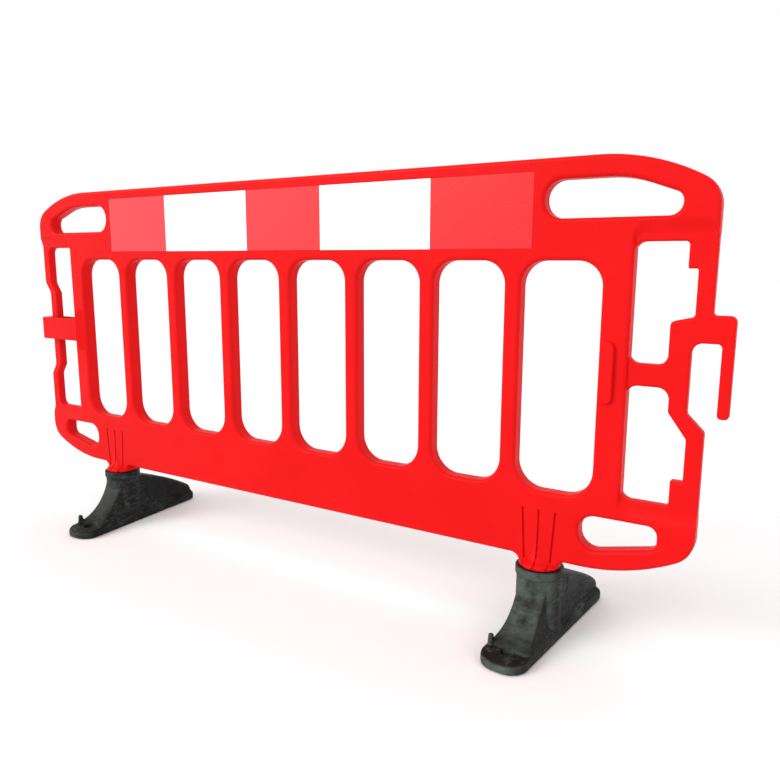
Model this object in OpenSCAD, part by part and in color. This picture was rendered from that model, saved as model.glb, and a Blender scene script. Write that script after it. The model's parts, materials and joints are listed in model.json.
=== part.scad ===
// One-piece moulded plastic barrier, two metres long, on two swivelling rubber feet.
// X runs along the panel, Y through it and Z up. Z = 0 is the floor.

/* [Panel] */
// Length of the panel, without the hook and the link loop
panel_l = 2000; // [1980:10:2600]
// Height of the top edge above the floor
overall_h = 1016; // [996:5:1300]
// Height of the bottom edge above the floor
bottom_z = 187; // [186:1:206]
// Thickness of the panel field
panel_t = 40; // [34:1:50]
// Thickness of the end frames, the hook and the arm
frame_t = 24; // [16:1:32]
// Large radius of the panel corners
corner_r = 400; // [380:5:420]
// Small radius where the corner meets the end
corner_end_r = 60; // [30:5:60]

/* [Slots] */
// Number of upright slots
slots = 8; // [2:2:8]
// Distance from one slot to the next
slot_pitch = 204; // [196:1:210]
// Width of a slot
slot_w = 168; // [120:1:172]
// Radius of a slot's upper corners
slot_r = 50; // [10:1:55]
// Radius of a slot's lower corners
slot_low_r = 58; // [10:1:59]
// Distance from the bottom edge up to the slots
slot_bottom = 149; // [130:1:180]
// Distance from the top edge down to the slots
slot_top = 199; // [195:1:230]

/* [End frames] */
// Width of the end mullion between the last slot and the window
mullion_w = 57; // [46:0.2:60]
// Width of the end post
post_w = 31; // [26:1:36]
// Height of the middle bar of the end frame
bar_h = 44; // [30:1:60]
// Distance of the middle bar's centre below the slot tops
bar_drop = 217; // [190:1:240]
// Corner radius of the windows
window_r = 20; // [8:1:22]
// Height of the windows above the slot tops
window_rise = 36; // [20:1:40]
// Height of the windows above the slot bottoms
window_sill = 11; // [10:1:30]

/* [Hook and link loop] */
// Width of the hook's hanging leg
leg_w = 21; // [16:1:24]
// Gap between the end frame and the leg
hook_gap = 52; // [46:1:60]
// Height of the hook's arm
arm_h = 52; // [36:1:60]
// Length of the leg below the arm
leg_l = 139; // [100:1:150]
// Height of the link loop
loop_h = 69; // [50:1:75]
// Thickness of the loop's two arms
loop_arm_t = 10; // [6:1:14]
// Thickness of the loop's end wall
loop_wall_t = 6; // [4:1:8]
// Space between the loop's end wall and the jogged post
loop_gap = 23; // [22:1:26]
// Diameter of the pegs that hold the loop
peg_d = 10; // [6:1:12]

/* [Hand holes] */
// Length of the hand holes in the top corners
hand_l = 262; // [200:1:270]
// Height of the hand holes in the top corners
hand_h = 75; // [60:1:80]
// Length of the hand holes in the bottom corners
low_hand_l = 155.5; // [120:1:160]
// Height of the hand holes in the bottom corners at their wide end
low_hand_h = 73; // [60:1:76]

/* [Reflective sheeting] */
// Height of the sheeting
sheet_h = 150; // [100:1:152]
// Length of a white block
white_l = 300; // [200:1:310]
// Length of a red block
red_l = 235; // [150:1:240]
// Thickness of the sheeting
sheet_t = 0.5; // [0.3:0.1:0.8]
// Depth of the recess that the sheeting lies in
recess_d = 1.2; // [1:0.1:2]
// Distance from the top edge down to the sheeting
sheet_drop = 25; // [22:1:32]
// Seam between two blocks, and around them
seam = 0.4; // [0.2:0.1:0.8]

/* [Feet] */
// Distance of a foot's axis from the panel's middle
foot_x = 690; // [560:5:700]
// Diameter of the spigot that a foot turns on
spigot_d = 60; // [50:1:64]
// Radial running clearance of the spigot in the foot
spigot_play = 0.08; // [0.03:0.01:0.1]
// Diameter of the neck's flange
neck_d = 90; // [84:1:96]
// Diameter of the foot's collar
collar_d = 104; // [100:1:110]
// Height of the foot
foot_h = 166; // [156:1:166]
// Width of the sole
sole_w = 104; // [100:1:120]
// Thickness of the sole
sole_t = 24; // [20:1:30]
// Reach of the front toe from the axis
toe_front = 192; // [185:1:230]
// Reach of the rear toe from the axis
toe_rear = 275; // [245:1:300]
// Diameter of the ground pin hole in the front toe
pin_d = 28; // [20:1:32]
// Distance of the pin hole from the axis
pin_reach = 142; // [140:1:150]
// Play between parts that turn past each other
play = 0.3; // [0.2:0.1:0.4]
// Angle that the left foot stands at, from square to the panel
left_turn = 4.2; // [-90:0.1:90]
// Angle that the right foot stands at, from square to the panel
right_turn = -4.8; // [-90:0.1:90]

/* [Swivel fasteners] */
// Thread diameter of the swivel bolt
bolt_d = 12; // [10:1:14]
// Width across flats of the bolt head
bolt_af = 19; // [17:1:22]
// Height of the bolt head
bolt_head_h = 7.5; // [6:0.5:9]
// Diameter of the large washer
washer_d = 37; // [30:1:44]
// Thickness of the large washer
washer_t = 3; // [2:0.5:4]
// Outer diameter of the threaded insert
insert_d = 20; // [18:1:24]
// Length of the threaded insert
insert_l = 32; // [20:1:40]

/* [Hidden] */
$fn = 64;

// Panel
end_x = panel_l / 2;
slot_top_z = overall_h - slot_top;
slot_bottom_z = bottom_z + slot_bottom;
field_end = (slots - 1) / 2 * slot_pitch + slot_w / 2;
mullion_x = field_end + mullion_w;
corner_in_share = 0.305;
corner_drop_share = 0.1625;
corner_in = corner_in_share * corner_r;
corner_drop = corner_drop_share * corner_r;
frame_step = 9;
zone_w = 400;
over = 1;
hair = 0.5;

// Windows, posts, bar and hook
window_top_z = slot_top_z + window_rise;
window_sill_z = slot_bottom_z + window_sill;
bar_z = slot_top_z - bar_drop;
bar_top_z = bar_z + bar_h / 2;
bar_low_z = bar_z - bar_h / 2;
post_x = end_x - post_w;
wide_post_w = 49;
wide_post_x = end_x - wide_post_w;
narrow_in = 42.4;
narrow_x = post_x - narrow_in;
arm_rise = 97;
arm_top_z = bar_top_z + arm_rise;
arm_slope = 10;
post_top_drop = 4;
arm_low_z = arm_top_z - arm_h;
neck_in = 33;
neck_in_x = end_x - neck_in;
leg_low_z = arm_low_z - leg_l;
leg_x = neck_in_x + hook_gap;
hook_x = leg_x + leg_w;
under_bar_h = 46;
ramp_outer_h = 33;
ramp_inner_h = 49;
low_neck_w = 36;
notch_h = 52;
notch_w = 23;
stop_rise = 84;
jog = 21;
jog_x = end_x - jog;
jog_ramp = 31;
jog_above = 91;
jog_below = 97;
jog_top_z = bar_top_z + jog_above;
jog_low_z = bar_low_z - jog_below;

// Link loop
loop_x = jog_x + loop_gap + loop_wall_t;
pad_l = 124;
pad_w = 32;
pad_foot = 2;
pad_crest = 6;
pad_x = field_end + pad_w;
peg_l = 8;
peg_x = (pad_x + mullion_x) / 2;
peg_rise = loop_h / 4;
peg_play = 0.1;

// Hand holes
hand_inset = 64;
hand_drop = 117;
hand_x = end_x - hand_inset - hand_l;
hand_z = overall_h - hand_drop;
hand_slope_l = 98;
hand_slope_h = 36;
low_hand_inset = 69.5;
low_hand_rise = 114;
low_hand_x = end_x - low_hand_inset - low_hand_l;
low_hand_top_z = bottom_z + low_hand_rise;
low_hand_taper = 35;
low_hand_slant = 8;

// Sheeting: red, white, red, white, red, from left to right
sheet_top_z = overall_h - sheet_drop;
strip_l = 3 * red_l + 2 * white_l;

// Foot
collar_r = collar_d / 2;
collar_proud = 3;
column_r = collar_r - collar_proud;
ring_h = 19;
sole_front_r = 42;
sole_rear_r = 36;
slope_w = 68;
toe_flat = 53;
slope_foot = toe_front - toe_flat;
sweep_r = 182;
sweep_start = 66.4;
fin_w = 84;
fin_bulge = 8;
fin_top_z = foot_h - ring_h;
fin_setback = 4;
fin_end = toe_rear - fin_setback;
fin_start_drop = 7;
fin_heel = 24;
fin_heel_l = 13;
fin_r = 30;
crease_r = 6;
crease_out = 2;
crease_step = 5;
crease_y = column_r + crease_step;
lug = [9, 13, 18];
lug_step = 5;
spigot_floor = 40;
neck_h = 12;
neck_proud = 6;
neck_slope_h = 18;
neck_blend_h = 40;
neck_fillet = bottom_z - foot_h - play;
groove_w = 3.5;
groove_h = 122;
groove_spread = 36;
groove_lean = 4;
groove_run = 10;
counterbore_h = 15;
bolt_room = 1;
washer_room = 3;
bolt_short = 6;

// The origin is the middle of the whole footprint, at the floor.
function turned_reach(turn, reach, r) =
    (reach - r) * cos(turn) + (sole_w / 2 - r) * abs(sin(turn)) + r;
function footprint(reach, r) =
    max(turned_reach(left_turn, reach, r), turned_reach(right_turn, reach, r));
centre_x = (hook_x - loop_x) / 2;
centre_y = (footprint(toe_rear, sole_rear_r) - footprint(toe_front, sole_front_r)) / 2;

module place() { translate([-centre_x, -centre_y, 0]) children(); }

// Points of the arc that rounds corner q between p and n. A corner is [x, z, radius].
function unit(v) = v / norm(v);
function corner_arc(p, q, n) =
    let (
        c = [q[0], q[1]],
        u = unit([p[0], p[1]] - c),
        v = unit([n[0], n[1]] - c),
        half = acos(u * v) / 2,
        t = q[2] / tan(half),
        m = c + unit(u + v) * q[2] / sin(half),
        s = c + u * t - m,
        e = c + v * t - m,
        a = atan2(s[1], s[0]),
        turn = (atan2(e[1], e[0]) - a + 540) % 360 - 180,
        steps = max(2, ceil(abs(turn) / 12), ceil(abs(turn) * q[2] / 700))
    )
    [for (i = [0:steps]) m + q[2] * [cos(a + turn * i / steps), sin(a + turn * i / steps)]];

module rounded(c) {
    last = len(c) - 1;
    polygon([for (i = [0:last])
        each c[i][2] == 0 ? [[c[i][0], c[i][1]]]
            : corner_arc(c[i == 0 ? last : i - 1], c[i], c[i == last ? 0 : i + 1])]);
}

// Upright plate of thickness t, centred on the panel's middle plane
module slab(t) { rotate([90, 0, 0]) linear_extrude(t, center = true) children(); }

function mirrored(c, side) = [for (q = c) [side * q[0], q[1], q[2]]];

module panel_outline() {
    rounded([
        [end_x - corner_in, overall_h, corner_r],
        [end_x, overall_h - corner_drop, corner_end_r],
        // hook
        [end_x, arm_top_z, 6],
        [hook_x, arm_top_z, 12],
        [hook_x, leg_low_z, 8],
        [leg_x, leg_low_z, 8],
        [leg_x, arm_low_z, 8],
        [neck_in_x, arm_low_z, 20],
        [neck_in_x, bar_low_z - under_bar_h, 10],
        [end_x, bar_low_z - under_bar_h - ramp_outer_h, 10],
        // bottom edge with the two necks
        [end_x, bottom_z + corner_drop, corner_end_r],
        [end_x - corner_in, bottom_z, corner_r],
        [foot_x + neck_d / 2, bottom_z, neck_fillet - 0.01],
        [foot_x + neck_d / 2, foot_h + play, 0],
        [foot_x - neck_d / 2, foot_h + play, 0],
        [foot_x - neck_d / 2, bottom_z, neck_fillet - 0.01],
        [neck_d / 2 - foot_x, bottom_z, neck_fillet - 0.01],
        [neck_d / 2 - foot_x, foot_h + play, 0],
        [-neck_d / 2 - foot_x, foot_h + play, 0],
        [-neck_d / 2 - foot_x, bottom_z, neck_fillet - 0.01],
        [corner_in - end_x, bottom_z, corner_r],
        [-end_x, bottom_z + corner_drop, corner_end_r],
        // jogged post that the link loop passes round
        [-end_x, jog_low_z - jog_ramp, 10],
        [-jog_x, jog_low_z, 10],
        [-jog_x, jog_top_z, 10],
        [-end_x, jog_top_z + jog_ramp, 10],
        [-end_x, overall_h - corner_drop, corner_end_r],
        [corner_in - end_x, overall_h, corner_r]
    ]);
}

module slot() {
    x = slot_w / 2;
    rounded([[-x, slot_bottom_z, slot_low_r], [-x, slot_top_z, slot_r],
        [x, slot_top_z, slot_r], [x, slot_bottom_z, slot_low_r]]);
}

// Windows beside the hook: the inner edge of the post steps in and out round the arm
module right_upper_window() {
    rounded([
        [mullion_x, window_top_z, window_r],
        [wide_post_x, window_top_z, window_r],
        [wide_post_x, arm_top_z + stop_rise, 4],
        [post_x, arm_top_z + stop_rise, 4],
        [post_x, arm_top_z - post_top_drop, 8],
        [narrow_x, arm_top_z - post_top_drop - arm_slope, 10],
        [narrow_x, bar_top_z, window_r],
        [mullion_x, bar_top_z, window_r]
    ]);
}

module right_lower_window() {
    rounded([
        [mullion_x, bar_low_z, window_r],
        [post_x - low_neck_w, bar_low_z, window_r],
        [post_x - low_neck_w, bar_low_z - under_bar_h, 10],
        [post_x, bar_low_z - under_bar_h - ramp_inner_h, 10],
        [post_x, window_sill_z + notch_h, 5],
        [post_x - notch_w, window_sill_z + notch_h, 5],
        [post_x - notch_w, window_sill_z, window_r],
        [mullion_x, window_sill_z, window_r]
    ]);
}

// Windows beside the link loop: the post jogs inwards
module left_upper_window() {
    rounded(mirrored([
        [mullion_x, window_top_z, window_r],
        [post_x, window_top_z, window_r],
        [post_x, jog_top_z + jog_ramp, 10],
        [post_x - jog, jog_top_z, 10],
        [post_x - jog, bar_top_z, 12],
        [mullion_x, bar_top_z, 12]
    ], -1));
}

module left_lower_window() {
    rounded(mirrored([
        [mullion_x, bar_low_z, 12],
        [post_x - jog, bar_low_z, 12],
        [post_x - jog, jog_low_z, 10],
        [post_x, jog_low_z - jog_ramp, 10],
        [post_x, window_sill_z, window_r],
        [mullion_x, window_sill_z, window_r]
    ], -1));
}

// Long hand hole that follows the top corner's curve
module hand_hole(side) {
    x = hand_x;
    z = hand_z;
    end_r = hand_h / 2 - hair;
    rounded(mirrored([
        [x, z, end_r],
        [x, z + hand_h, end_r],
        [x + hand_l - hand_slope_l, z + hand_h, 220],
        [x + hand_l, z + hand_h - hand_slope_h, 20],
        [x + hand_l, z, 24]
    ], side));
}

// Teardrop hand hole that narrows towards the bottom corner
module low_hand_hole(side) {
    x = low_hand_x;
    z = low_hand_top_z;
    rounded(mirrored([
        [x, z, 34],
        [x, z - low_hand_h - low_hand_slant, 34],
        [x + low_hand_l, z - low_hand_h - low_hand_slant + low_hand_taper, 18],
        [x + low_hand_l, z, 20]
    ], side));
}

module openings() {
    for (i = [0:slots - 1]) translate([(i - (slots - 1) / 2) * slot_pitch, 0]) slot();
    right_upper_window();
    right_lower_window();
    left_upper_window();
    left_lower_window();
    for (side = [-1, 1]) {
        hand_hole(side);
        low_hand_hole(side);
    }
}

// Region of the thinner end frames
module end_zone() {
    for (side = [-1, 1])
        translate([side * (mullion_x + zone_w / 2), (window_top_z + window_sill_z) / 2])
            square([zone_w, window_top_z - window_sill_z + 2 * frame_step], center = true);
}

// Wedge that rises from the slot to a wall, on both faces of the end mullion
module pad(side) {
    translate([0, 0, bar_z - pad_l / 2])
        linear_extrude(pad_l)
            for (face = [-1, 1])
                polygon([
                    [side * (field_end + pad_foot), face * (panel_t / 2 - over)],
                    [side * (field_end + pad_foot), face * panel_t / 2],
                    [side * (pad_x - pad_crest), face * (panel_t / 2 + loop_arm_t)],
                    [side * pad_x, face * (panel_t / 2 + loop_arm_t)],
                    [side * pad_x, face * (panel_t / 2 - over)]
                ]);
}

// Round flange over the foot, blended up into the panel, and the spigot below it
module neck(x) {
    translate([x, 0, 0]) {
        translate([0, 0, spigot_floor])
            cylinder(h = foot_h - spigot_floor + neck_h, d = spigot_d);
        translate([0, 0, foot_h + play]) rotate_extrude()
            polygon([[0, 0], [neck_d / 2, 0], [neck_d / 2, neck_h],
                [panel_t / 2 + neck_proud, neck_h + neck_slope_h], [0, neck_h + neck_blend_h]]);
    }
}

// Three grooves that run down each face to the flange
module grooves(x) {
    for (i = [-1:1], face = [-1, 1])
        translate([x + i * groove_spread, face * panel_t / 2, foot_h + groove_h])
            rotate([0, 180 + i * groove_lean, 0])
                cylinder(h = groove_h + groove_run, d = groove_w);
}

module recess() {
    translate([0, 0, sheet_top_z - sheet_h / 2])
        for (face = [-1, 1])
            translate([0, face * (panel_t / 2 - recess_d / 2 + over / 2), 0])
                cube([strip_l + 2 * seam, recess_d + over, sheet_h + 2 * seam], center = true);
}

module peg_places() {
    for (face = [-1, 1], rise = [-1, 1])
        translate([-peg_x, face * (panel_t / 2), bar_z + rise * peg_rise])
            rotate([face * 90, 0, 0])
                children();
}

module panel() color([0.93, 0.09, 0.09]) place() {
    difference() {
        union() {
            slab(panel_t) difference() {
                panel_outline();
                end_zone();
                openings();
            }
            slab(frame_t) difference() {
                intersection() {
                    panel_outline();
                    end_zone();
                }
                openings();
            }
            for (side = [-1, 1]) {
                pad(side);
                neck(side * foot_x);
            }
        }
        recess();
        for (side = [-1, 1]) {
            grooves(side * foot_x);
            translate([side * foot_x, 0, spigot_floor - over])
                cylinder(h = insert_l + over, d = insert_d);
        }
        peg_places() translate([0, 0, -over])
            cylinder(h = peg_l + 2 * peg_play + over, d = peg_d + 2 * peg_play);
    }
}

// Strap round the jogged post, which the next barrier's hook drops into
module link_loop() color([0.88, 0.07, 0.07]) place() {
    reach = loop_x - pad_x;
    depth = panel_t + 2 * loop_arm_t;
    translate([-loop_x, 0, bar_z - loop_h / 2])
        linear_extrude(loop_h) difference() {
            translate([0, -depth / 2]) square([reach, depth]);
            translate([loop_wall_t, -panel_t / 2]) square([reach, panel_t]);
        }
    peg_places() translate([0, 0, -over / 2])
        cylinder(h = peg_l + over / 2, d = peg_d);
}

// One block of sheeting; index runs from left to right, face is -1 in front and 1 behind
module sheeting(index, face) {
    ends = [0, red_l, red_l + white_l, 2 * red_l + white_l, 2 * red_l + 2 * white_l, strip_l];
    place() translate([ends[index] - strip_l / 2 + seam / 2,
            face * (panel_t / 2 - recess_d + sheet_t / 2) - sheet_t / 2,
            sheet_top_z - sheet_h])
        cube([ends[index + 1] - ends[index] - seam, sheet_t, sheet_h]);
}

module red_sheeting(index, face) color([0.95, 0.28, 0.3]) sheeting(index, face);

module white_sheeting(index, face) color([0.97, 0.97, 0.97]) sheeting(index, face);

module sole_outline() {
    x = sole_w / 2;
    rounded([[-x, -toe_front, sole_front_r], [-x, toe_rear, sole_rear_r],
        [x, toe_rear, sole_rear_r], [x, -toe_front, sole_front_r]]);
}

// Extrudes a side view, drawn as [y, z], across the foot
module across(w) { rotate([90, 0, 90]) linear_extrude(w, center = true) children(); }

// Hollow sweep from the column down to the front toe
module front_slope() {
    across(slope_w) difference() {
        translate([-slope_foot, 0]) square([slope_foot, fin_top_z]);
        translate([-slope_foot - sweep_r * cos(sweep_start), sole_t + sweep_r * sin(sweep_start)])
            circle(sweep_r, $fn = 180);
    }
}

// Fin behind the column, with a bulging top line that drops to the heel
module rear_fin() {
    start_z = fin_top_z - fin_start_drop;
    drop_y = fin_end - fin_heel_l;
    drop_z = sole_t + fin_heel;
    intersection() {
        linear_extrude(foot_h) rounded([[-fin_w / 2, 0, 0], [-fin_w / 2, fin_end, fin_r],
            [fin_w / 2, fin_end, fin_r], [fin_w / 2, 0, 0]]);
        across(2 * fin_w) polygon(concat([[0, 0], [0, start_z]],
            [for (i = [0:8]) let (s = i / 8)
                [column_r + (drop_y - column_r) * s,
                    start_z + (drop_z - start_z) * s + 4 * fin_bulge * s * (1 - s)]],
            [[fin_end, sole_t], [fin_end, 0]]));
    }
}

module foot(x, turn) color([0.13, 0.14, 0.14]) place() translate([x, 0, 0]) rotate([0, 0, turn]) {
    difference() {
        union() {
            linear_extrude(sole_t) sole_outline();
            cylinder(h = foot_h, r = column_r);
            translate([0, 0, foot_h - ring_h]) cylinder(h = ring_h, r = collar_r);
            front_slope();
            rear_fin();
            // small lug beside the pin hole
            translate([-slope_w / 2 - lug[0] / 2, -pin_reach + lug_step, sole_t - over]) cube(lug);
        }
        // socket for the spigot
        translate([0, 0, spigot_floor - play])
            cylinder(h = foot_h, r = spigot_d / 2 + spigot_play, $fn = 128);
        // bolt hole and the counterbore for the washer and the head
        translate([0, 0, -over]) cylinder(h = foot_h, d = bolt_d + bolt_room);
        translate([0, 0, -over]) cylinder(h = counterbore_h + over, d = washer_d + washer_room);
        // ground pin hole, open upwards through the foot of the slope
        translate([0, -pin_reach, -over]) cylinder(h = foot_h, d = pin_d);
        // creases between the column and the fin
        for (side = [-1, 1])
            translate([side * (fin_w / 2 + crease_out), crease_y, sole_t])
                cylinder(h = foot_h, r = crease_r);
    }
}

// Flat washer that holds the foot up on its spigot
module washer(x) color([0.72, 0.72, 0.72]) place()
    translate([x, 0, counterbore_h - play - washer_t])
        difference() {
            cylinder(h = washer_t, d = washer_d);
            translate([0, 0, -over]) cylinder(h = washer_t + 2 * over, d = bolt_d + play);
        }

// Hexagon bolt driven up into the insert
module swivel_bolt(x) color([0.68, 0.68, 0.68]) place() {
    head_z = counterbore_h - play - washer_t;
    translate([x, 0, head_z - bolt_head_h])
        cylinder(h = bolt_head_h, d = bolt_af / cos(30), $fn = 6);
    translate([x, 0, head_z - over])
        cylinder(h = spigot_floor + insert_l - bolt_short - head_z + over, d = bolt_d);
}

// Threaded insert moulded into the spigot
module insert(x) color([0.8, 0.66, 0.35]) place() translate([x, 0, spigot_floor])
    difference() {
        cylinder(h = insert_l, d = insert_d - 2 * peg_play);
        translate([0, 0, -over]) cylinder(h = insert_l + 2 * over, d = bolt_d + 2 * peg_play);
    }

panel();
link_loop();
red_sheeting(0, -1);  // front_red_left
white_sheeting(1, -1);  // front_white_left
red_sheeting(2, -1);  // front_red_middle
white_sheeting(3, -1);  // front_white_right
red_sheeting(4, -1);  // front_red_right
red_sheeting(0, 1);  // rear_red_left
white_sheeting(1, 1);  // rear_white_left
red_sheeting(2, 1);  // rear_red_middle
white_sheeting(3, 1);  // rear_white_right
red_sheeting(4, 1);  // rear_red_right
foot(-foot_x, left_turn);  // left_foot
foot(foot_x, right_turn);  // right_foot
swivel_bolt(-foot_x);  // left_swivel_bolt
swivel_bolt(foot_x);  // right_swivel_bolt
washer(-foot_x);  // left_washer
washer(foot_x);  // right_washer
insert(-foot_x);  // left_insert
insert(foot_x);  // right_insert
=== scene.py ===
"""Looks of the moulded plastic barrier: panel, sheeting, link loop, rubber feet and swivel fasteners."""
import json
import math

import bmesh
import bpy
from mathutils import Matrix, Vector

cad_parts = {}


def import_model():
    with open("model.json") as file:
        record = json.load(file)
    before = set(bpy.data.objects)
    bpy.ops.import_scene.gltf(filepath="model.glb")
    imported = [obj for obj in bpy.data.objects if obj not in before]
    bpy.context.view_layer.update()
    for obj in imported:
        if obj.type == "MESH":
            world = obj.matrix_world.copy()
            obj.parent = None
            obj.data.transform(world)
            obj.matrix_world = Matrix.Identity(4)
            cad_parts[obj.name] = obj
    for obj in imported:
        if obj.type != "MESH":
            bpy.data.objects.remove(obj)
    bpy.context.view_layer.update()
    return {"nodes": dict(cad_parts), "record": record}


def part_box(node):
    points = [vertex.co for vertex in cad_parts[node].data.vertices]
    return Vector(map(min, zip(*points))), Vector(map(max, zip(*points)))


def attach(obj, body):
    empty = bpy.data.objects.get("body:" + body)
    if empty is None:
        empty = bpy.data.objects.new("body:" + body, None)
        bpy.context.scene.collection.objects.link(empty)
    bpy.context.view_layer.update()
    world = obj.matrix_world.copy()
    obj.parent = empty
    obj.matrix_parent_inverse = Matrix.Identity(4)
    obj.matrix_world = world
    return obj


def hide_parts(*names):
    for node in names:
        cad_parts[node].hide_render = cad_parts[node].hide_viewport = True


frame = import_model()

MM = 0.001

# ---------------------------------------------------------------- sizes, in millimetres
# X is measured from the panel's middle, Y from its middle plane and Z from the floor.
END_X = 1000
PANEL_LOW, PANEL_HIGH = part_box("panel")
TOP_Z = PANEL_HIGH.z / MM
PANEL_T, FRAME_T = 40, 24
BOTTOM_Z = TOP_Z - 829
SLOTS, SLOT_PITCH, SLOT_W, SLOT_R, SLOT_LOW_R = 8, 204, 168, 50, 58
SLOT_TOP_Z, SLOT_BOTTOM_Z = TOP_Z - 199, BOTTOM_Z + 149
FIELD_END = (SLOTS - 1) / 2 * SLOT_PITCH + SLOT_W / 2
MULLION_X = FIELD_END + 57
FOOT_X, FOOT_H = 690, BOTTOM_Z - 21
FOOT_TURNS = {-1: 4.2, 1: -4.8}
NECK_LOW_Z, NECK_R = FOOT_H + 0.3, 45

WINDOW_TOP_Z, WINDOW_SILL_Z = SLOT_TOP_Z + 36, SLOT_BOTTOM_Z + 11
BAR_Z = SLOT_TOP_Z - 217
BAR_TOP_Z, BAR_LOW_Z = BAR_Z + 22, BAR_Z - 22
POST_X, WIDE_POST_X, NARROW_X = END_X - 31, END_X - 49, END_X - 73.4
ARM_TOP_Z = BAR_TOP_Z + 97
ARM_LOW_Z = ARM_TOP_Z - 52
LEG_LOW_Z = ARM_LOW_Z - 139
NECK_IN_X = END_X - 33
LEG_X, HOOK_X = NECK_IN_X + 52, NECK_IN_X + 73
UNDER_BAR_Z, HOOK_SLANT_Z = BAR_LOW_Z - 46, BAR_LOW_Z - 79
UPPER_STEP_Z, NARROW_TOP_Z, NARROW_LOW_Z = ARM_TOP_Z + 84, ARM_TOP_Z - 4, ARM_TOP_Z - 14
LOW_POST_X, LOW_SLANT_Z = POST_X - 36, BAR_LOW_Z - 95
SILL_NOTCH_X, SILL_NOTCH_Z = POST_X - 23, WINDOW_SILL_Z + 52
JOG = 21
JOG_TOP_Z, JOG_LOW_Z, JOG_RAMP = BAR_TOP_Z + 91, BAR_LOW_Z - 97, 31
FRAME_STEP = 9

CORNER_IN, CORNER_DROP, CORNER_R, CORNER_END_R = 122, 65, 400, 60
HAND_IN, HAND_DROP, HAND_H, HAND_L, HAND_END_H = 326, 117, 75, 262, 39
HAND_R, HAND_SLOPE_IN, HAND_SLOPE_R = 37, 164, 220
HAND_END_R, HAND_LOW_END_R = 20, 24
LOW_HAND_IN, LOW_HAND_RISE, LOW_HAND_H, LOW_HAND_L, LOW_HAND_SLANT = 225, 114, 81, 155.5, 46
LOW_HAND_R, LOW_HAND_END_R, LOW_HAND_TOP_R = 34, 18, 20

FACE_EDGE, FRAME_EDGE = 8.5, 5
STRIP_TOP_Z, STRIP_H, STRIP_L = TOP_Z - 25, 150, 1305
RECESS, RECESS_PLAY, RECESS_R = 1.2, 0.4, 4

ORIGIN = Vector((PANEL_LOW.x / MM + END_X, (PANEL_LOW.y + PANEL_HIGH.y) / 2 / MM, 0))


def world(x, y, z):
    """A place given from the panel's middle, in the frame's metres."""
    return (ORIGIN + Vector((x, y, z))) * MM


# ---------------------------------------------------------------- camera, light and floor
CAMERA_PLACE = (1194.7, -1439.7, TOP_Z - 203.7)
CAMERA_TURN, CAMERA_DOWN, CAMERA_ROLL = 31.72, 10.03, 0.21
SENSOR, FOCAL_SHARE = 36, 724.54 / 781


def add_camera():
    bpy.ops.object.camera_add()
    camera = bpy.context.object
    camera.name = "view_camera"
    camera.data.sensor_width = SENSOR
    camera.data.lens = SENSOR * FOCAL_SHARE
    camera.data.clip_end = 60
    turn = Matrix.Rotation(math.radians(CAMERA_TURN), 4, "Z")
    tilt = Matrix.Rotation(math.radians(90 - CAMERA_DOWN), 4, "X")
    roll = Matrix.Rotation(math.radians(CAMERA_ROLL), 4, "Z")
    camera.matrix_world = Matrix.Translation(world(*CAMERA_PLACE)) @ turn @ tilt @ roll
    bpy.context.scene.camera = camera


def add_sun(name, towards, spread, strength):
    """A soft sun that shines from the given direction."""
    bpy.ops.object.light_add(type="SUN", location=Vector(towards) * 4)
    light = bpy.context.object
    light.name = name
    light.data.angle = math.radians(spread)
    light.data.energy = strength
    light.rotation_euler = Vector(towards).to_track_quat("Z", "Y").to_euler()


def add_studio():
    scene = bpy.context.scene
    scene.view_settings.view_transform = "Standard"
    scene.world = bpy.data.worlds.new("studio")
    scene.world.use_nodes = True
    background = scene.world.node_tree.nodes["Background"]
    background.inputs["Color"].default_value = (1, 1, 1, 1)
    background.inputs["Strength"].default_value = 1.0
    add_sun("key_light", (-0.55, -0.8, 0.5), 30, 1.8)
    add_sun("fill_light", (0.9, -0.35, 0.4), 45, 0.5)
    bpy.ops.mesh.primitive_plane_add(size=60, location=(0, 0, -0.0005))
    floor = bpy.context.object
    floor.name = "studio_floor"
    floor.data.materials.append(floor_finish())


# ---------------------------------------------------------------- shader expressions
class Socket:
    """A shader value: Python arithmetic on it adds Math nodes."""

    def __init__(self, finish, link):
        self.finish, self.link = finish, link

    def math(self, operation, *others):
        return self.finish.node("ShaderNodeMath", {"operation": operation}, [self, *others])

    def __add__(self, other):
        return self.math("ADD", other)

    def __sub__(self, other):
        return self.math("SUBTRACT", other)

    def __rsub__(self, other):
        return self.finish.node("ShaderNodeMath", {"operation": "SUBTRACT"}, [other, self])

    def __mul__(self, other):
        return self.math("MULTIPLY", other)

    __radd__ = __add__
    __rmul__ = __mul__

    def absolute(self):
        return self.math("ABSOLUTE")

    def between(self, low, high):
        """0 below low, 1 above high, and a smooth rise between them."""
        return self.finish.node("ShaderNodeMapRange", {"interpolation_type": "SMOOTHSTEP"},
                                {"Value": self, "From Min": low, "From Max": high})


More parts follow.
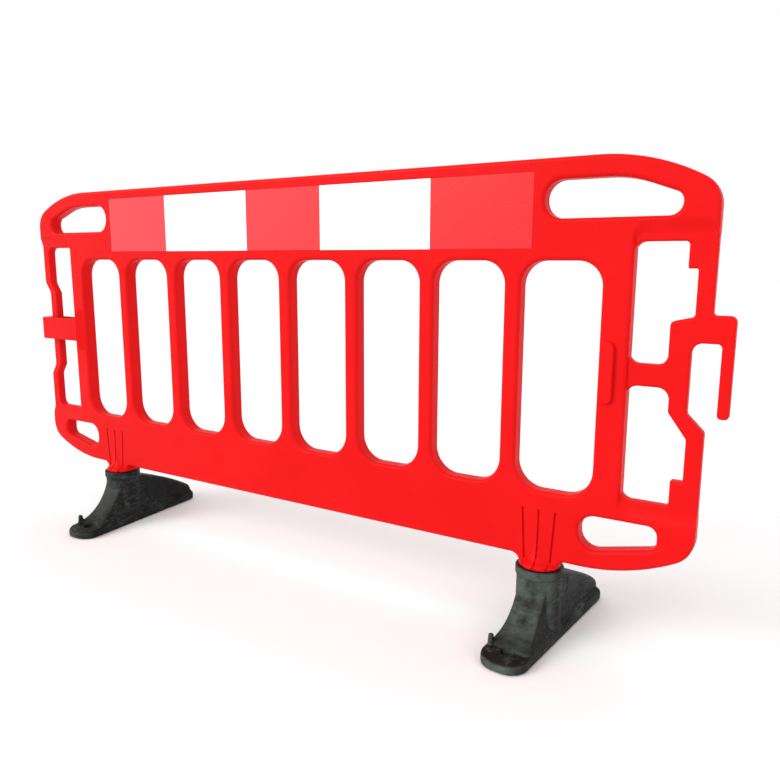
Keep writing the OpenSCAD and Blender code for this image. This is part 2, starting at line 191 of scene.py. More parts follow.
class Finish:
    """A material whose nodes are all added by node()."""

    def __init__(self, name):
        self.material = bpy.data.materials.new(name)
        self.material.use_nodes = True
        self.tree = self.material.node_tree
        self.tree.nodes.clear()
        self.place = self.node("ShaderNodeTexCoord", output="Object")

    def node(self, kind, settings=None, sockets=None, output=0):
        made = self.tree.nodes.new(kind)
        for key, value in (settings or {}).items():
            setattr(made, key, value)
        pairs = sockets.items() if isinstance(sockets, dict) else enumerate(sockets or [])
        for key, value in pairs:
            if isinstance(value, Socket):
                self.tree.links.new(value.link, made.inputs[key])
            else:
                made.inputs[key].default_value = value
        return Socket(self, made.outputs[output]) if made.outputs else None

    def axis(self, letter):
        return self.node("ShaderNodeSeparateXYZ", None, [self.place], output=letter)

    def noise(self, scale, detail=2, roughness=0.5, place=None, distortion=0):
        return self.node("ShaderNodeTexNoise", None, {
            "Vector": place or self.place, "Scale": scale, "Detail": detail,
            "Roughness": roughness, "Distortion": distortion})

    def stretched(self, scale, turn=(0, 0, 0)):
        """The place with its axes scaled and turned, for a pattern that runs one way."""
        return self.node("ShaderNodeMapping", None,
                         {"Vector": self.place, "Scale": scale, "Rotation": turn})

    def blend(self, share, first, second):
        return self.node("ShaderNodeMix", {"data_type": "RGBA", "clamp_factor": True},
                         {0: share, 6: first, 7: second}, output=2)

    def bump(self, height, strength, distance, normal=None):
        sockets = {"Height": height, "Strength": strength, "Distance": distance}
        if normal:
            sockets["Normal"] = normal
        return self.node("ShaderNodeBump", None, sockets)

    def surface(self, **sockets):
        shader = self.node("ShaderNodeBsdfPrincipled", None,
                           {key.replace("_", " "): value for key, value in sockets.items()})
        self.node("ShaderNodeOutputMaterial", None, {"Surface": shader})
        return self.material


def colour(red, green, blue):
    return (red, green, blue, 1)


# ---------------------------------------------------------------- finishes
def floor_finish():
    finish = Finish("studio_floor")
    shade = finish.noise(0.7, 2)
    base = finish.blend(shade, colour(0.83, 0.83, 0.83), colour(0.85, 0.85, 0.85))
    return finish.surface(Base_Color=base, Roughness=0.9)


def red_plastic_finish():
    """Satin moulded polyethylene: sink marks, a fine grain, a parting line and scuffed edges."""
    finish = Finish("red_plastic")
    cloud = finish.noise(5, 3)
    patch = finish.noise(38, 4, 0.6)
    base = finish.blend(cloud.between(0.3, 0.7),
                        colour(0.62, 0.0040, 0.0046), colour(0.66, 0.0052, 0.0060))
    base = finish.blend(patch.between(0.45, 0.8) * 0.35, base, colour(0.59, 0.0036, 0.0042))
    scratch = finish.noise(26, 5, 0.7, finish.stretched((1, 1, 9), (0, 0.5, 0)), 0.6)
    scuff = scratch.between(0.66, 0.74) * finish.noise(7, 2).between(0.5, 0.66)
    base = finish.blend(scuff * 0.4, base, colour(0.70, 0.04, 0.04))
    rough = 0.42 + (patch - 0.5) * 0.16 + scuff * 0.2
    grain = finish.noise(850, 2)
    waves = finish.noise(11, 2)
    depth = finish.axis("Y") - ORIGIN.y * MM
    line = 1 - depth.absolute().between(0.0003, 0.0010)
    normal = finish.bump(waves, 0.3, 0.004)
    normal = finish.bump(grain, 0.12, 0.0004, normal)
    normal = finish.bump(line, 0.5, 0.0006, normal)
    return finish.surface(Base_Color=base, Roughness=rough, Normal=normal, Specular_IOR_Level=0.07)


def sheeting_finish(name, base_colour, dark_colour, painted_sheen_colour):
    """Retroreflective film: fine cells under a clear layer, a few scuffs and a painted sheen that lightens
    the left end.
    """
    finish = Finish(name)
    cells = finish.node("ShaderNodeTexVoronoi", {"feature": "DISTANCE_TO_EDGE"},
                        {"Vector": finish.stretched((1, 0, 1)), "Scale": 300, "Randomness": 0.12})
    ribs = 1 - cells.between(0.02, 0.09)
    tone = finish.noise(9, 3)
    base = finish.blend(tone.between(0.35, 0.7) * 0.5, base_colour, dark_colour)
    # painted sheen: the colour grows lighter towards the left end of the strip
    base = finish.blend(1 - finish.axis("X").between(-0.7, 0.7), base, painted_sheen_colour)
    base = finish.blend(ribs * 0.3, base, dark_colour)
    scuff = finish.noise(45, 5, 0.65, finish.stretched((1, 1, 5), (0, 0.9, 0))).between(0.68, 0.76)
    base = finish.blend(scuff * 0.25, base, colour(0.75, 0.72, 0.7))
    rough = 0.34 + tone * 0.12 + scuff * 0.25
    normal = finish.bump(ribs, 0.15, 0.0003)
    return finish.surface(Base_Color=base, Roughness=rough, Normal=normal,
                          Coat_Weight=0.3, Coat_Roughness=0.22, Specular_IOR_Level=0.2)


def rubber_finish():
    """Recycled rubber: dull, mottled, with flow wrinkles, pale rub marks and patchy painted light on what
    faces front, stronger on the right foot.
    """
    finish = Finish("black_rubber")
    mottle = finish.noise(24, 5, 0.6)
    facing = finish.node("ShaderNodeTexCoord", output="Normal")
    front = 0 - finish.node("ShaderNodeSeparateXYZ", None, [facing], output="Y")
    base = finish.blend(mottle.between(0.3, 0.75),
                        colour(0.0018, 0.0022, 0.0020), colour(0.0080, 0.0093, 0.0086))
    flow = finish.noise(15, 5, 0.6, finish.stretched((1, 1, 3.6), (0.55, 0.25, 0.4)), 1.6)
    wrinkle = 1 - (flow - 0.5).absolute().between(0.0, 0.03)
    worn = wrinkle * finish.noise(9, 3).between(0.40, 0.60)
    # painted light: faces that look to the front are lightened in patches, more on the right foot than the
    # left
    right_foot_light_share = 0.4 + finish.axis("X").between(-0.5, 0.5) * 0.6
    painted_front_light = front.between(0.2, 0.85) * mottle.between(0.2, 0.7) * right_foot_light_share
    # the pale colour of the painted light on the front faces
    base = finish.blend(painted_front_light, base, colour(0.075, 0.092, 0.083))
    base = finish.blend(worn * 0.65, base, colour(0.075, 0.088, 0.082))
    rub = finish.stretched((1, 1, 7), (0.9, 0.2, 0.3))
    scratch = finish.noise(30, 6, 0.75, rub, 0.8).between(0.63, 0.70)
    base = finish.blend(scratch * 0.6, base, colour(0.11, 0.125, 0.118))
    crumb = finish.node("ShaderNodeTexVoronoi", None, {"Vector": finish.place, "Scale": 420})
    rough = 0.52 + (mottle - 0.5) * 0.25 - worn * 0.1
    normal = finish.bump(flow, 0.75, 0.007)
    normal = finish.bump(wrinkle, 0.5, 0.0015, normal)
    normal = finish.bump(crumb, 0.16, 0.0008, normal)
    return finish.surface(Base_Color=base, Roughness=rough, Normal=normal, Specular_IOR_Level=0.14)


def metal_finish(name, base_colour, dark_colour, roughness):
    """Plated or turned metal with fine turning marks and dull patches."""
    finish = Finish(name)
    patch = finish.noise(60, 4, 0.6)
    base = finish.blend(patch.between(0.35, 0.75), base_colour, dark_colour)
    marks = finish.noise(300, 3, 0.5, finish.stretched((1, 1, 6)))
    rough = roughness + (patch - 0.5) * 0.25
    normal = finish.bump(marks, 0.2, 0.0002)
    return finish.surface(Base_Color=base, Metallic=1.0, Roughness=rough, Normal=normal)


# ---------------------------------------------------------------- modelling helpers
def deselect():
    if bpy.context.object and bpy.context.object.mode != "OBJECT":
        bpy.ops.object.mode_set(mode="OBJECT")
    bpy.ops.object.select_all(action="DESELECT")


def pick(piece):
    deselect()
    bpy.context.view_layer.objects.active = piece
    piece.select_set(True)


def settle(piece):
    """Puts the piece's place into its mesh and leaves its object at the origin."""
    pick(piece)
    bpy.ops.object.transform_apply(location=True, rotation=True, scale=True)
    return piece


def in_edit_mode(piece, work):
    pick(piece)
    bpy.ops.object.mode_set(mode="EDIT")
    bpy.ops.mesh.select_all(action="SELECT")
    work()
    bpy.ops.object.mode_set(mode="OBJECT")
    return piece


def modify(piece, kind, **settings):
    """Adds a modifier, sets it and applies it."""
    pick(piece)
    bpy.ops.object.modifier_add(type=kind)
    modifier = piece.modifiers[-1]
    for key, value in settings.items():
        setattr(modifier, key, value)
    bpy.ops.object.modifier_apply(modifier=modifier.name)
    return piece


def combine(piece, other, operation):
    modify(piece, "BOOLEAN", object=other, operation=operation, solver="MANIFOLD")
    bpy.data.objects.remove(other)
    return piece


def join_solids(first, *others):
    for other in others:
        combine(first, other, "UNION")
    return first


def cut(piece, *cutters):
    for cutter in cutters:
        combine(piece, cutter, "DIFFERENCE")
    return piece


class Outline:
    """A closed outline of rounded corners, each (across, up, radius) and the kind of the edge after it."""

    def __init__(self, corners, hole=False, keep_radii=False):
        self.keep_radii = keep_radii
        self.corners = [Vector(corner[:2]) for corner in corners]
        self.radii = [corner[2] for corner in corners]
        self.kinds = [corner[3] if len(corner) > 3 else "rim" for corner in corners]
        area = sum(a.cross(b) for a, b in zip(self.corners, self.corners[1:] + self.corners[:1]))
        if (area < 0) != hole:
            self.corners.reverse()
            self.radii.reverse()
            self.kinds = self.kinds[-2::-1] + self.kinds[-1:]

    def points(self, shifts):
        """The outline's points with each edge moved into the material by the shift of its kind."""
        count, points = len(self.corners), []
        for i, corner in enumerate(self.corners):
            points += self.corner_points(
                corner, (corner - self.corners[i - 1]).normalized(),
                (self.corners[(i + 1) % count] - corner).normalized(), self.radii[i],
                shifts.get(self.kinds[i - 1], 0), shifts.get(self.kinds[i], 0))
        return points

    def corner_points(self, corner, ahead, after, radius, shift, next_shift):
        turn = math.atan2(ahead.cross(after), ahead.dot(after))
        normal = Vector((-ahead.y, ahead.x))
        moved = corner + normal * shift + ahead * (shift * math.cos(turn) - next_shift) / math.sin(turn)
        mean = (shift + next_shift) / 2
        moved_radius = radius if self.keep_radii else max(radius - mean, 0) if turn > 0 else radius + mean
        steps = max(2, math.ceil(abs(turn) / math.radians(9)), math.ceil(abs(turn) * radius / 14))
        side = math.copysign(moved_radius, turn)
        centre = moved - ahead * moved_radius * math.tan(abs(turn) / 2) + normal * side
        return [centre + Matrix.Rotation(turn * step / steps, 2) @ (-normal * side)
                for step in range(steps + 1)]


UPRIGHT, FLAT, SIDEWAYS = (90, 0, 0), (0, 0, 0), (90, 0, 90)
RAMP_LOW, RAMP_REACH = 11.5, 34


def rounded_edge(thickness, edge):
    """Heights and shifts of a plate's rounded edge, and of the long ramp down to an end frame."""
    half = thickness / 2
    upper = []
    for angle in (0, 6, 15, 30, 45, 60, 75, 90):
        height = half - edge + edge * math.sin(math.radians(angle))
        rise = min(1, max(0, (height - RAMP_LOW) / (half - RAMP_LOW)))
        upper.append((height, {"rim": edge - edge * math.cos(math.radians(angle)),
                               "ramp": RAMP_REACH * math.acos(1 - 2 * rise) / math.pi}))
    return [(-height, shifts) for height, shifts in reversed(upper)] + upper


def through(layers):
    """The layers of a hole's cutter, carried 1 mm beyond both faces."""
    (low, low_shifts), (high, high_shifts) = layers[0], layers[-1]
    return [(low - 1, low_shifts), *layers, (high + 1, high_shifts)]


def plate(name, outline, layers, middle=(0, 0, 0), stand=UPRIGHT):
    """A closed solid that runs through the outline, shifted from layer to layer."""
    piece = bpy.data.objects.new(name, bpy.data.meshes.new(name))
    bpy.context.collection.objects.link(piece)

    def build_shell():
        shell = bmesh.from_edit_mesh(piece.data)
        rows = [[shell.verts.new((point.x * MM, point.y * MM, height * MM))
                 for point in outline.points(shifts)] for height, shifts in layers]
        for lower, upper in zip(rows, rows[1:]):
            for i, corner in enumerate(lower):
                shell.faces.new((lower[i - 1], corner, upper[i], upper[i - 1]))
        shell.faces.new(rows[0])
        shell.faces.new(rows[-1])
        bmesh.update_edit_mesh(piece.data)
        bpy.ops.mesh.select_all(action="SELECT")
        bpy.ops.mesh.remove_doubles(threshold=0.00002)
        bpy.ops.mesh.normals_make_consistent(inside=False)
    in_edit_mode(piece, build_shell)
    piece.location = world(*middle)
    piece.rotation_euler = [math.radians(angle) for angle in stand]
    return settle(piece)


def mirrored(corners, side):
    return [(side * corner[0], *corner[1:]) for corner in corners]


def turned(name, profile, place, vertices=64):
    """A solid of revolution about an upright axis, from its (radius, height) profile."""
    first_r, first_z = profile[0]
    x, y, z = place
    deselect()
    bpy.ops.mesh.primitive_circle_add(vertices=vertices, radius=first_r * MM, fill_type="NGON",
                                      location=world(x, y, z + first_z))
    piece = bpy.context.object
    piece.name = name

    def work():
        radius, height = first_r, first_z
        for next_r, next_z in profile[1:]:
            bpy.ops.mesh.extrude_region_move(
                TRANSFORM_OT_translate={"value": (0, 0, (next_z - height) * MM)})
            bpy.ops.transform.resize(value=(next_r / radius, next_r / radius, 1))
            radius, height = next_r, next_z
        bpy.ops.mesh.select_all(action="SELECT")
        bpy.ops.mesh.normals_make_consistent(inside=False)
    in_edit_mode(piece, work)
    return settle(piece)


def rod(name, radius, low, high, vertices=24):
    """A round bar from one place to another."""
    start, end = world(*low), world(*high)
    deselect()
    bpy.ops.mesh.primitive_cylinder_add(vertices=vertices, radius=radius * MM, depth=(end - start).length,
                                        location=(start + end) / 2)
    piece = bpy.context.object
    piece.name = name
    piece.rotation_euler = (end - start).to_track_quat("Z", "Y").to_euler()
    return settle(piece)


def ball(name, centre, sizes):
    """An ellipsoid with the given half sizes."""
    deselect()
    bpy.ops.mesh.primitive_uv_sphere_add(segments=48, ring_count=24, radius=MM, location=world(*centre))
    piece = bpy.context.object
    piece.name = name
    piece.scale = sizes
    return settle(piece)


def finish_piece(piece, material, body, slot, *replaced, angle=38):
    pick(piece)
    piece.data.materials.clear()
    piece.data.materials.append(material)
    bpy.ops.object.shade_smooth_by_angle(angle=math.radians(angle))
    modify(piece, "WEIGHTED_NORMAL", keep_sharp=True, weight=60)
    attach(piece, body)
    if replaced:
        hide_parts(*replaced)
    return piece


# ---------------------------------------------------------------- panel outlines
def necks_along_bottom():
    """Corners of the two necks, from right to left along the bottom edge."""
    fillet, half = BOTTOM_Z - NECK_LOW_Z - 2.01, NECK_R - 2
    corners = []
    for x in (FOOT_X, -FOOT_X):
        corners += [(x + half, BOTTOM_Z, fillet), (x + half, NECK_LOW_Z + 2, 0, "plain"),
                    (x - half, NECK_LOW_Z + 2, 0), (x - half, BOTTOM_Z, fillet)]
    return corners


def panel_corner(side, top):
    """The two arcs of a panel corner, from the long edge to the end."""
    long_z = TOP_Z if top else BOTTOM_Z
    end_z = long_z - CORNER_DROP if top else long_z + CORNER_DROP
    return mirrored([(END_X - CORNER_IN, long_z, CORNER_R), (END_X, end_z, CORNER_END_R)], side)


FRAME_HIGH_Z, FRAME_LOW_Z = WINDOW_TOP_Z + FRAME_STEP, WINDOW_SILL_Z - FRAME_STEP


def frame_notch(side, first_z, then_z):
    """The field's edge round one end frame; its edges along the panel are ramps."""
    return mirrored([(END_X, first_z, 4, "ramp"), (MULLION_X, first_z, 14),
                     (MULLION_X, then_z, 14, "ramp"), (END_X, then_z, 4)], side)


def field_outline():
    """The thick field, clockwise from its top right corner."""
    right = (panel_corner(1, True) + frame_notch(1, FRAME_HIGH_Z, FRAME_LOW_Z)
             + panel_corner(1, False)[::-1])
    left = (panel_corner(-1, False) + frame_notch(-1, FRAME_LOW_Z, FRAME_HIGH_Z)
            + panel_corner(-1, True)[::-1])
    return Outline(right + necks_along_bottom() + left)


def slot_outline(x):
    half = SLOT_W / 2
    return Outline([(x - half, SLOT_BOTTOM_Z, SLOT_LOW_R), (x - half, SLOT_TOP_Z, SLOT_R),
                    (x + half, SLOT_TOP_Z, SLOT_R), (x + half, SLOT_BOTTOM_Z, SLOT_LOW_R)], hole=True)


def hand_hole(side):
    x, z = END_X - HAND_IN, TOP_Z - HAND_DROP
    return Outline(mirrored([
        (x, z, HAND_R), (x, z + HAND_H, HAND_R), (x + HAND_SLOPE_IN, z + HAND_H, HAND_SLOPE_R),
        (x + HAND_L, z + HAND_END_H, HAND_END_R), (x + HAND_L, z, HAND_LOW_END_R)], side), hole=True)


def low_hand_hole(side):
    x, z = END_X - LOW_HAND_IN, BOTTOM_Z + LOW_HAND_RISE
    return Outline(mirrored([
        (x, z, LOW_HAND_R), (x, z - LOW_HAND_H, LOW_HAND_R),
        (x + LOW_HAND_L, z - LOW_HAND_SLANT, LOW_HAND_END_R),
        (x + LOW_HAND_L, z, LOW_HAND_TOP_R)], side), hole=True)


TUCK = 12  # how far the end frames reach inside the thick field
HIDDEN = 2  # the frame's hole runs this far inside the mullion, so the mullion's own face shows


def frame_outline(side, outer_edge):
    """An end frame with its hidden edge inside the field; outer_edge runs from top to bottom."""
    inner_x, high, low = MULLION_X - TUCK, FRAME_HIGH_Z + TUCK, FRAME_LOW_Z - TUCK
    return Outline(mirrored([(inner_x, high, 2), (END_X, high, 0), *outer_edge, (END_X, low, 0),
                             (inner_x, low, 2)], side))


def hook_frame_outline():
    return frame_outline(1, [
        (END_X, ARM_TOP_Z, 6), (HOOK_X, ARM_TOP_Z, 12), (HOOK_X, LEG_LOW_Z, 8), (LEG_X, LEG_LOW_Z, 8),
        (LEG_X, ARM_LOW_Z, 8), (NECK_IN_X, ARM_LOW_Z, 20), (NECK_IN_X, UNDER_BAR_Z, 10),
        (END_X, HOOK_SLANT_Z, 10)])


def right_upper_window():
    x = MULLION_X - HIDDEN
    return Outline([
        (x, WINDOW_TOP_Z, 22), (WIDE_POST_X, WINDOW_TOP_Z, 8), (WIDE_POST_X, UPPER_STEP_Z, 3),
        (POST_X, UPPER_STEP_Z, 4), (POST_X, NARROW_TOP_Z, 8), (NARROW_X, NARROW_LOW_Z, 10),
        (NARROW_X, BAR_TOP_Z, 20), (x, BAR_TOP_Z, 22)], hole=True)


def right_lower_window():
    x = MULLION_X - HIDDEN
    return Outline([
        (x, BAR_LOW_Z, 22), (LOW_POST_X, BAR_LOW_Z, 22), (LOW_POST_X, UNDER_BAR_Z, 10),
        (POST_X, LOW_SLANT_Z, 10), (POST_X, SILL_NOTCH_Z, 5), (SILL_NOTCH_X, SILL_NOTCH_Z, 3),
        (SILL_NOTCH_X, WINDOW_SILL_Z, 8), (x, WINDOW_SILL_Z, 22)], hole=True)


def loop_frame_outline():
    return frame_outline(-1, [(END_X, JOG_TOP_Z + JOG_RAMP, 12), (END_X - JOG, JOG_TOP_Z, 12),
                              (END_X - JOG, JOG_LOW_Z, 12), (END_X, JOG_LOW_Z - JOG_RAMP, 12)])


def left_upper_window():
    x = MULLION_X - HIDDEN
    return Outline(mirrored([
        (x, WINDOW_TOP_Z, 22), (POST_X, WINDOW_TOP_Z, 20), (POST_X, JOG_TOP_Z + JOG_RAMP, 12),
        (POST_X - JOG, JOG_TOP_Z, 12), (POST_X - JOG, BAR_TOP_Z, 12), (x, BAR_TOP_Z, 12)], -1), hole=True)


def left_lower_window():
    x = MULLION_X - HIDDEN
    return Outline(mirrored([
        (x, BAR_LOW_Z, 12), (POST_X - JOG, BAR_LOW_Z, 12), (POST_X - JOG, JOG_LOW_Z, 12),
        (POST_X, JOG_LOW_Z - JOG_RAMP, 12), (POST_X, WINDOW_SILL_Z, 20),
        (x, WINDOW_SILL_Z, 22)], -1), hole=True)


# ---------------------------------------------------------------- panel
PAD_NEAR, PAD_FAR, PAD_HALF_H, PAD_PROUD = FIELD_END + 2, FIELD_END + 32, 62, 10


def pad(side):
    """Wedge on both faces of an end mullion, low at the slot and proud at the window."""
    buried = 3
    high, low = BAR_Z + PAD_HALF_H, BAR_Z - PAD_HALF_H
    outline = Outline(mirrored([(PAD_NEAR, low, 3), (PAD_NEAR, high, 3),
                                (PAD_FAR, high, 14), (PAD_FAR, low, 14)], side))
    piece = plate("pad", outline, rounded_edge(PANEL_T + 2 * PAD_PROUD, 3))
    for vertex in piece.data.vertices:
        across = (abs(vertex.co.x / MM - ORIGIN.x) - PAD_NEAR) / (PAD_FAR - PAD_NEAR - 6)
        share = min(1, max(0, across))
        deep = (vertex.co.y / MM - ORIGIN.y) / (PANEL_T / 2 + PAD_PROUD)
        vertex.co.y = (ORIGIN.y + deep * (PANEL_T / 2 - buried + (PAD_PROUD + buried) * share)) * MM
    return piece


SPIGOT_R, SPIGOT_LOW_Z = 30, 40


def neck(x):
    """Flared flange over the foot, blended up the faces, with the spigot below it."""
    rim = [(NECK_R - 3, 0), (NECK_R - 0.5, 1), (NECK_R, 4), (NECK_R - 1.5, 8), (NECK_R - 6, 11)]
    flare = [(34, 14), (29, 19), (25.5, 27), (23, 40), (21.4, 58), (20.4, 80), (19, 110)]
    flange = turned("neck", [(radius, NECK_LOW_Z + rise) for radius, rise in rim + flare], (x, 0, 0))
    spigot = turned("spigot", [(SPIGOT_R - 2, SPIGOT_LOW_Z), (SPIGOT_R, SPIGOT_LOW_Z + 2),
                               (SPIGOT_R, NECK_LOW_Z + 6)], (x, 0, 0))
    return join_solids(flange, spigot)


GROOVE_TOP_Z, GROOVE_R = FOOT_H + 127, 2.3


def groove_path(step, face):
    """Places along a groove, (across, through, height), from its top down to the flange's rim."""
    half, low = PANEL_T / 2, NECK_LOW_Z
    if step == 0:
        across = [0] * 6
        path = [(half, GROOVE_TOP_Z), (half + 1, low + 80), (23, low + 42), (27, low + 24),
                (34, low + 14), (44, low + 9)]
    else:
        across = [36 * step, 29.5 * step, 28 * step]
        path = [(half, GROOVE_TOP_Z), (half, low + 18), (34, low + 8)]
    return [(x, face * y, z) for x, (y, z) in zip(across, path)]


def groove_cutter(foot_x, face):
    """Three grooves that close up towards the flange, with a dimple at the top and a notch in the rim."""
    cutters = []
    for step in (-1, 0, 1):
        for sunk in (0, GROOVE_R):
            places = [(foot_x + x, y - face * sunk, z) for x, y, z in groove_path(step, face)]
            cutters += [rod("groove", GROOVE_R, high, low, 12) for high, low in zip(places, places[1:])]
        top, rim_y = groove_path(step, face)[0], face * math.sqrt((NECK_R + 1) ** 2 - (28 * step) ** 2)
        cutters.append(ball("dimple", (foot_x + top[0], top[1], top[2]), (3.6, 3.6, 3.6)))
        cutters.append(rod("rim_notch", 4.8, (foot_x + 28 * step, rim_y, NECK_LOW_Z - 2),
                           (foot_x + 28 * step, rim_y, NECK_LOW_Z + 16), 20))
    return join_solids(*cutters)


def recess_cutter(face):
    x, high = STRIP_L / 2 + RECESS_PLAY, STRIP_TOP_Z + RECESS_PLAY
    low, half, r = STRIP_TOP_Z - STRIP_H - RECESS_PLAY, 5, RECESS_R
    outline = Outline([(-x, high, r), (x, high, r), (x, low, r), (-x, low, r)])
    return plate("recess", outline, [(-half, {}), (half, {})], (0, face * (PANEL_T / 2 - RECESS + half), 0))


def holed_plate(name, outline, holes, thickness, edge):
    layers = rounded_edge(thickness, edge)
    piece = plate(name, outline, layers)
    return cut(piece, *[plate("hole", hole, through(layers)) for hole in holes])


def build_panel(material):
    holes = [slot_outline((i - (SLOTS - 1) / 2) * SLOT_PITCH) for i in range(SLOTS)]
    for side in (-1, 1):
        holes += [hand_hole(side), low_hand_hole(side)]
    panel = holed_plate("barrier_panel", field_outline(), holes, PANEL_T, FACE_EDGE)
    hook_frame = holed_plate("hook_frame", hook_frame_outline(),
                             [right_upper_window(), right_lower_window()], FRAME_T, FRAME_EDGE)
    loop_frame = holed_plate("loop_frame", loop_frame_outline(),
                             [left_upper_window(), left_lower_window()], FRAME_T, FRAME_EDGE)
    join_solids(panel, hook_frame, loop_frame, pad(-1), pad(1), neck(-FOOT_X), neck(FOOT_X))
    for face in (-1, 1):
        cut(panel, recess_cutter(face), groove_cutter(-FOOT_X, face), groove_cutter(FOOT_X, face))
    return finish_piece(panel, material, "barrier", "red_plastic", "panel")


# ---------------------------------------------------------------- link loop
def build_link_loop(material):
    left, right, wall, arm = -(END_X - JOG + 29), -(FIELD_END + 32), 6, 10
    depth = PANEL_T / 2 + arm
    outline = Outline([(left, -depth, 9), (left, depth, 9), (right, depth, 3), (right, PANEL_T / 2, 0),
                       (left + wall, PANEL_T / 2, 4), (left + wall, -PANEL_T / 2, 4),
                       (right, -PANEL_T / 2, 0), (right, -depth, 3)])
    loop = plate("loop_strap", outline, rounded_edge(69, 2.5), (0, 0, BAR_Z), FLAT)
    return finish_piece(loop, material, "barrier", "red_plastic", "link_loop")


# ---------------------------------------------------------------- feet
SOLE_T, SOLE_W, TOE_FRONT, TOE_REAR, PIN_REACH = 24, 104, 192, 275, 142
COLUMN_R, COLLAR_R, RING_Z = 49, 52, FOOT_H - 19
SWEEP_R, SWEEP_START, SLOPE_FOOT, SLOPE_HALF_W = 182, 66.4, TOE_FRONT - 53, 33.5
FIN_W, FIN_EDGE, CREASE_Y = 84, 13, COLUMN_R + 6
SOCKET_R, SOCKET_LOW_Z = SPIGOT_R + 0.08, SPIGOT_LOW_Z - 0.3
PIN_HOLE_R, BOLT_HOLE_R, COUNTERBORE_R, COUNTERBORE_H = 14, 6.5, 20, 15
BELOW, ABOVE_SOLE = -5, 60  # cutters start below the floor and end above the sole


def slope_reach(z):
    """Distance of the hollow front slope from the axis, at height z."""
    start = math.radians(SWEEP_START)
    above = SOLE_T + SWEEP_R * math.sin(start) - z
    return SLOPE_FOOT + SWEEP_R * math.cos(start) - math.sqrt(SWEEP_R ** 2 - above ** 2)


def foot_slope():
    layers = [(6, {})]
    for z in (SOLE_T - 2, 26, 29, 33, 38, 44, 51, 60, 70, 82, 96, 112, RING_Z):
        flare = 17 * math.exp(-max(0, z - SOLE_T) / 18)
        layers.append((z, {"front": SLOPE_FOOT - slope_reach(max(z, SOLE_T)), "side": 17 - flare}))
    half = SLOPE_HALF_W + 17
    outline = Outline([(-half, -SLOPE_FOOT, 11, "front"), (half, -SLOPE_FOOT, 11, "side"),
                       (half, 10, 4, "back"), (-half, 10, 4, "side")], keep_radii=True)
    return plate("slope", outline, layers, stand=FLAT)


def foot_fin():
    start, end, heel_z, bulge, steps = (COLUMN_R, RING_Z - 7), TOE_REAR - 18, SOLE_T + 24, 8, 8
    corners = [(0, 6, 0), (0, start[1], 0)]
    for i in range(steps + 1):
        share = i / steps
        corners.append((start[0] + (end - start[0]) * share,
                        start[1] + (heel_z - start[1]) * share + 4 * bulge * share * (1 - share),
                        26 if i == steps else 0))
    corners += [(TOE_REAR - 2, SOLE_T - 4, 6), (TOE_REAR - 2, 6, 0)]
    piece = plate("fin", Outline(corners), rounded_edge(FIN_W, FIN_EDGE), stand=SIDEWAYS)
    for vertex in piece.data.vertices:
        y, x = vertex.co.y / MM - ORIGIN.y, vertex.co.x / MM - ORIGIN.x
        vertex.co.x = (ORIGIN.x + x * (1 - 0.28 * max(0, (y - 225) / 48) ** 2)) * MM
    return piece


def foot_body():
    """The foot's soft outer shape, with its axis over the panel's middle."""
    half = SOLE_W / 2
    sole_outline = Outline([(-half, -TOE_FRONT, 42), (half, -TOE_FRONT, 42),
                            (half, TOE_REAR, 36), (-half, TOE_REAR, 36)])
    sole = plate("sole", sole_outline, rounded_edge(SOLE_T, 5), (0, 0, SOLE_T / 2), FLAT)
    column = turned("column", [(51.5, 6), (51.5, SOLE_T), (50, SOLE_T + 14), (COLUMN_R, SOLE_T + 34),
                               (COLUMN_R, RING_Z + 6)], (0, 0, 0))
    for vertex in sole.data.vertices:
        ahead = min(0, vertex.co.y / MM - ORIGIN.y + TOE_FRONT - 44) / 44
        vertex.co.z *= 1 - 0.36 * ahead ** 2
    foot = join_solids(sole, column, foot_slope(), foot_fin())
    for edge in (-1, 1):
        cut(foot,
            rod("crease", 6, (edge * 47, CREASE_Y, SOLE_T + 9), (edge * 45, CREASE_Y, FOOT_H)),
            ball("dish", (edge * (FIN_W / 2 + 15), 130, 66), (20, 98, 62)))
    lug = plate("lug", Outline([(-PIN_REACH, 18, 1), (-PIN_REACH + 1, 34, 1), (-PIN_REACH + 3, 49, 3),
                                (-PIN_REACH + 13, 47, 3), (-PIN_REACH + 20, 18, 1)]),
                rounded_edge(11, 2.5), (-SLOPE_HALF_W - 9, 0, 0), SIDEWAYS)
    join_solids(foot, lug)
    modify(foot, "REMESH", mode="VOXEL", voxel_size=2.4 * MM)
    modify(foot, "SMOOTH", factor=0.5, iterations=8)
    return foot


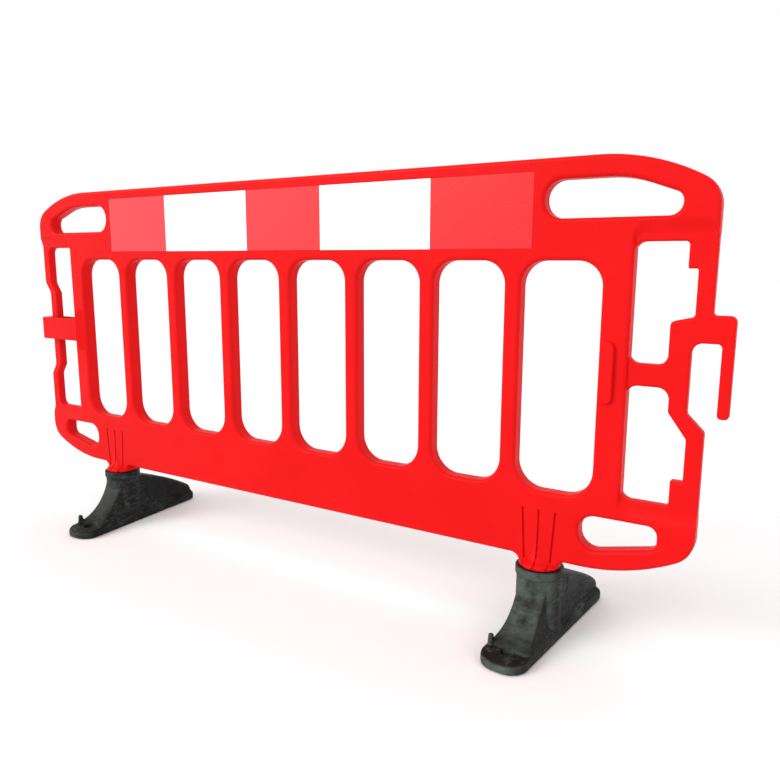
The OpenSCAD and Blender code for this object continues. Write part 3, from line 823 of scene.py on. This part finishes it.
def build_feet(material):
    """Both feet from one moulding, each turned on its own spigot."""
    foot = foot_body()
    ring = turned("ring", [(COLUMN_R - 2, RING_Z - 3), (COLLAR_R - 1, RING_Z),
                           (COLLAR_R, RING_Z + 1.5), (COLLAR_R, FOOT_H - 2),
                           (COLLAR_R - 2, FOOT_H), (COLLAR_R - 6, FOOT_H)], (0, 0, 0), 96)
    join_solids(foot, ring)
    cut(foot,
        rod("socket", SOCKET_R, (0, 0, SOCKET_LOW_Z), (0, 0, FOOT_H + 10), 96),
        rod("pin_hole", PIN_HOLE_R, (0, -PIN_REACH, BELOW), (0, -PIN_REACH, ABOVE_SOLE), 48),
        rod("bolt_hole", BOLT_HOLE_R, (0, 0, BELOW), (0, 0, ABOVE_SOLE), 32),
        rod("counterbore", COUNTERBORE_R, (0, 0, BELOW), (0, 0, COUNTERBORE_H), 48),
        rod("side_slit", 2, (SOLE_W / 2 - 1, -78, 16), (SOLE_W / 2 - 3, -76, 30), 12),
        ball("heel_pocket", (48, 246, 24), (9, 7, 12)),
        ball("heel_pocket", (-48, 246, 24), (9, 7, 12)))
    for side, node in ((-1, "left_foot"), (1, "right_foot")):
        pick(foot)
        bpy.ops.object.duplicate()
        copy = bpy.context.object
        copy.name = node.replace("foot", "rubber_foot")
        copy.matrix_world = (Matrix.Translation(world(side * FOOT_X, 0, 0))
                             @ Matrix.Rotation(math.radians(FOOT_TURNS[side]), 4, "Z")
                             @ Matrix.Translation(-world(0, 0, 0)))
        settle(copy)
        finish_piece(copy, material, node, "black_rubber", node, angle=40)
    bpy.data.objects.remove(foot)


# ---------------------------------------------------------------- everything together
def dress_cad_node(node, material):
    piece = frame["nodes"][node]
    piece.data.materials.clear()
    piece.data.materials.append(material)


def build():
    red = red_plastic_finish()
    build_panel(red)
    build_link_loop(red)
    rubber = rubber_finish()
    build_feet(rubber)
    finishes = {
        # the third colour of each sheeting is its painted sheen at the left end
        "red_sheeting": sheeting_finish(
            "red_sheeting", colour(0.66, 0.011, 0.014), colour(0.60, 0.008, 0.010),
            colour(0.68, 0.044, 0.054)),
        "white_sheeting": sheeting_finish(
            "white_sheeting", colour(0.94, 0.94, 0.94), colour(0.86, 0.87, 0.88),
            colour(0.92, 0.92, 0.92)),
        "zinc_steel": metal_finish("zinc_steel", colour(0.62, 0.62, 0.6), colour(0.45, 0.45, 0.44), 0.35),
        "brass": metal_finish("brass", colour(0.78, 0.6, 0.27), colour(0.6, 0.44, 0.2), 0.3),
    }
    for part in frame["record"]["subparts"]:
        if part["material_slot"] in finishes:
            dress_cad_node(part["node"], finishes[part["material_slot"]])


add_camera()
add_studio()
build()
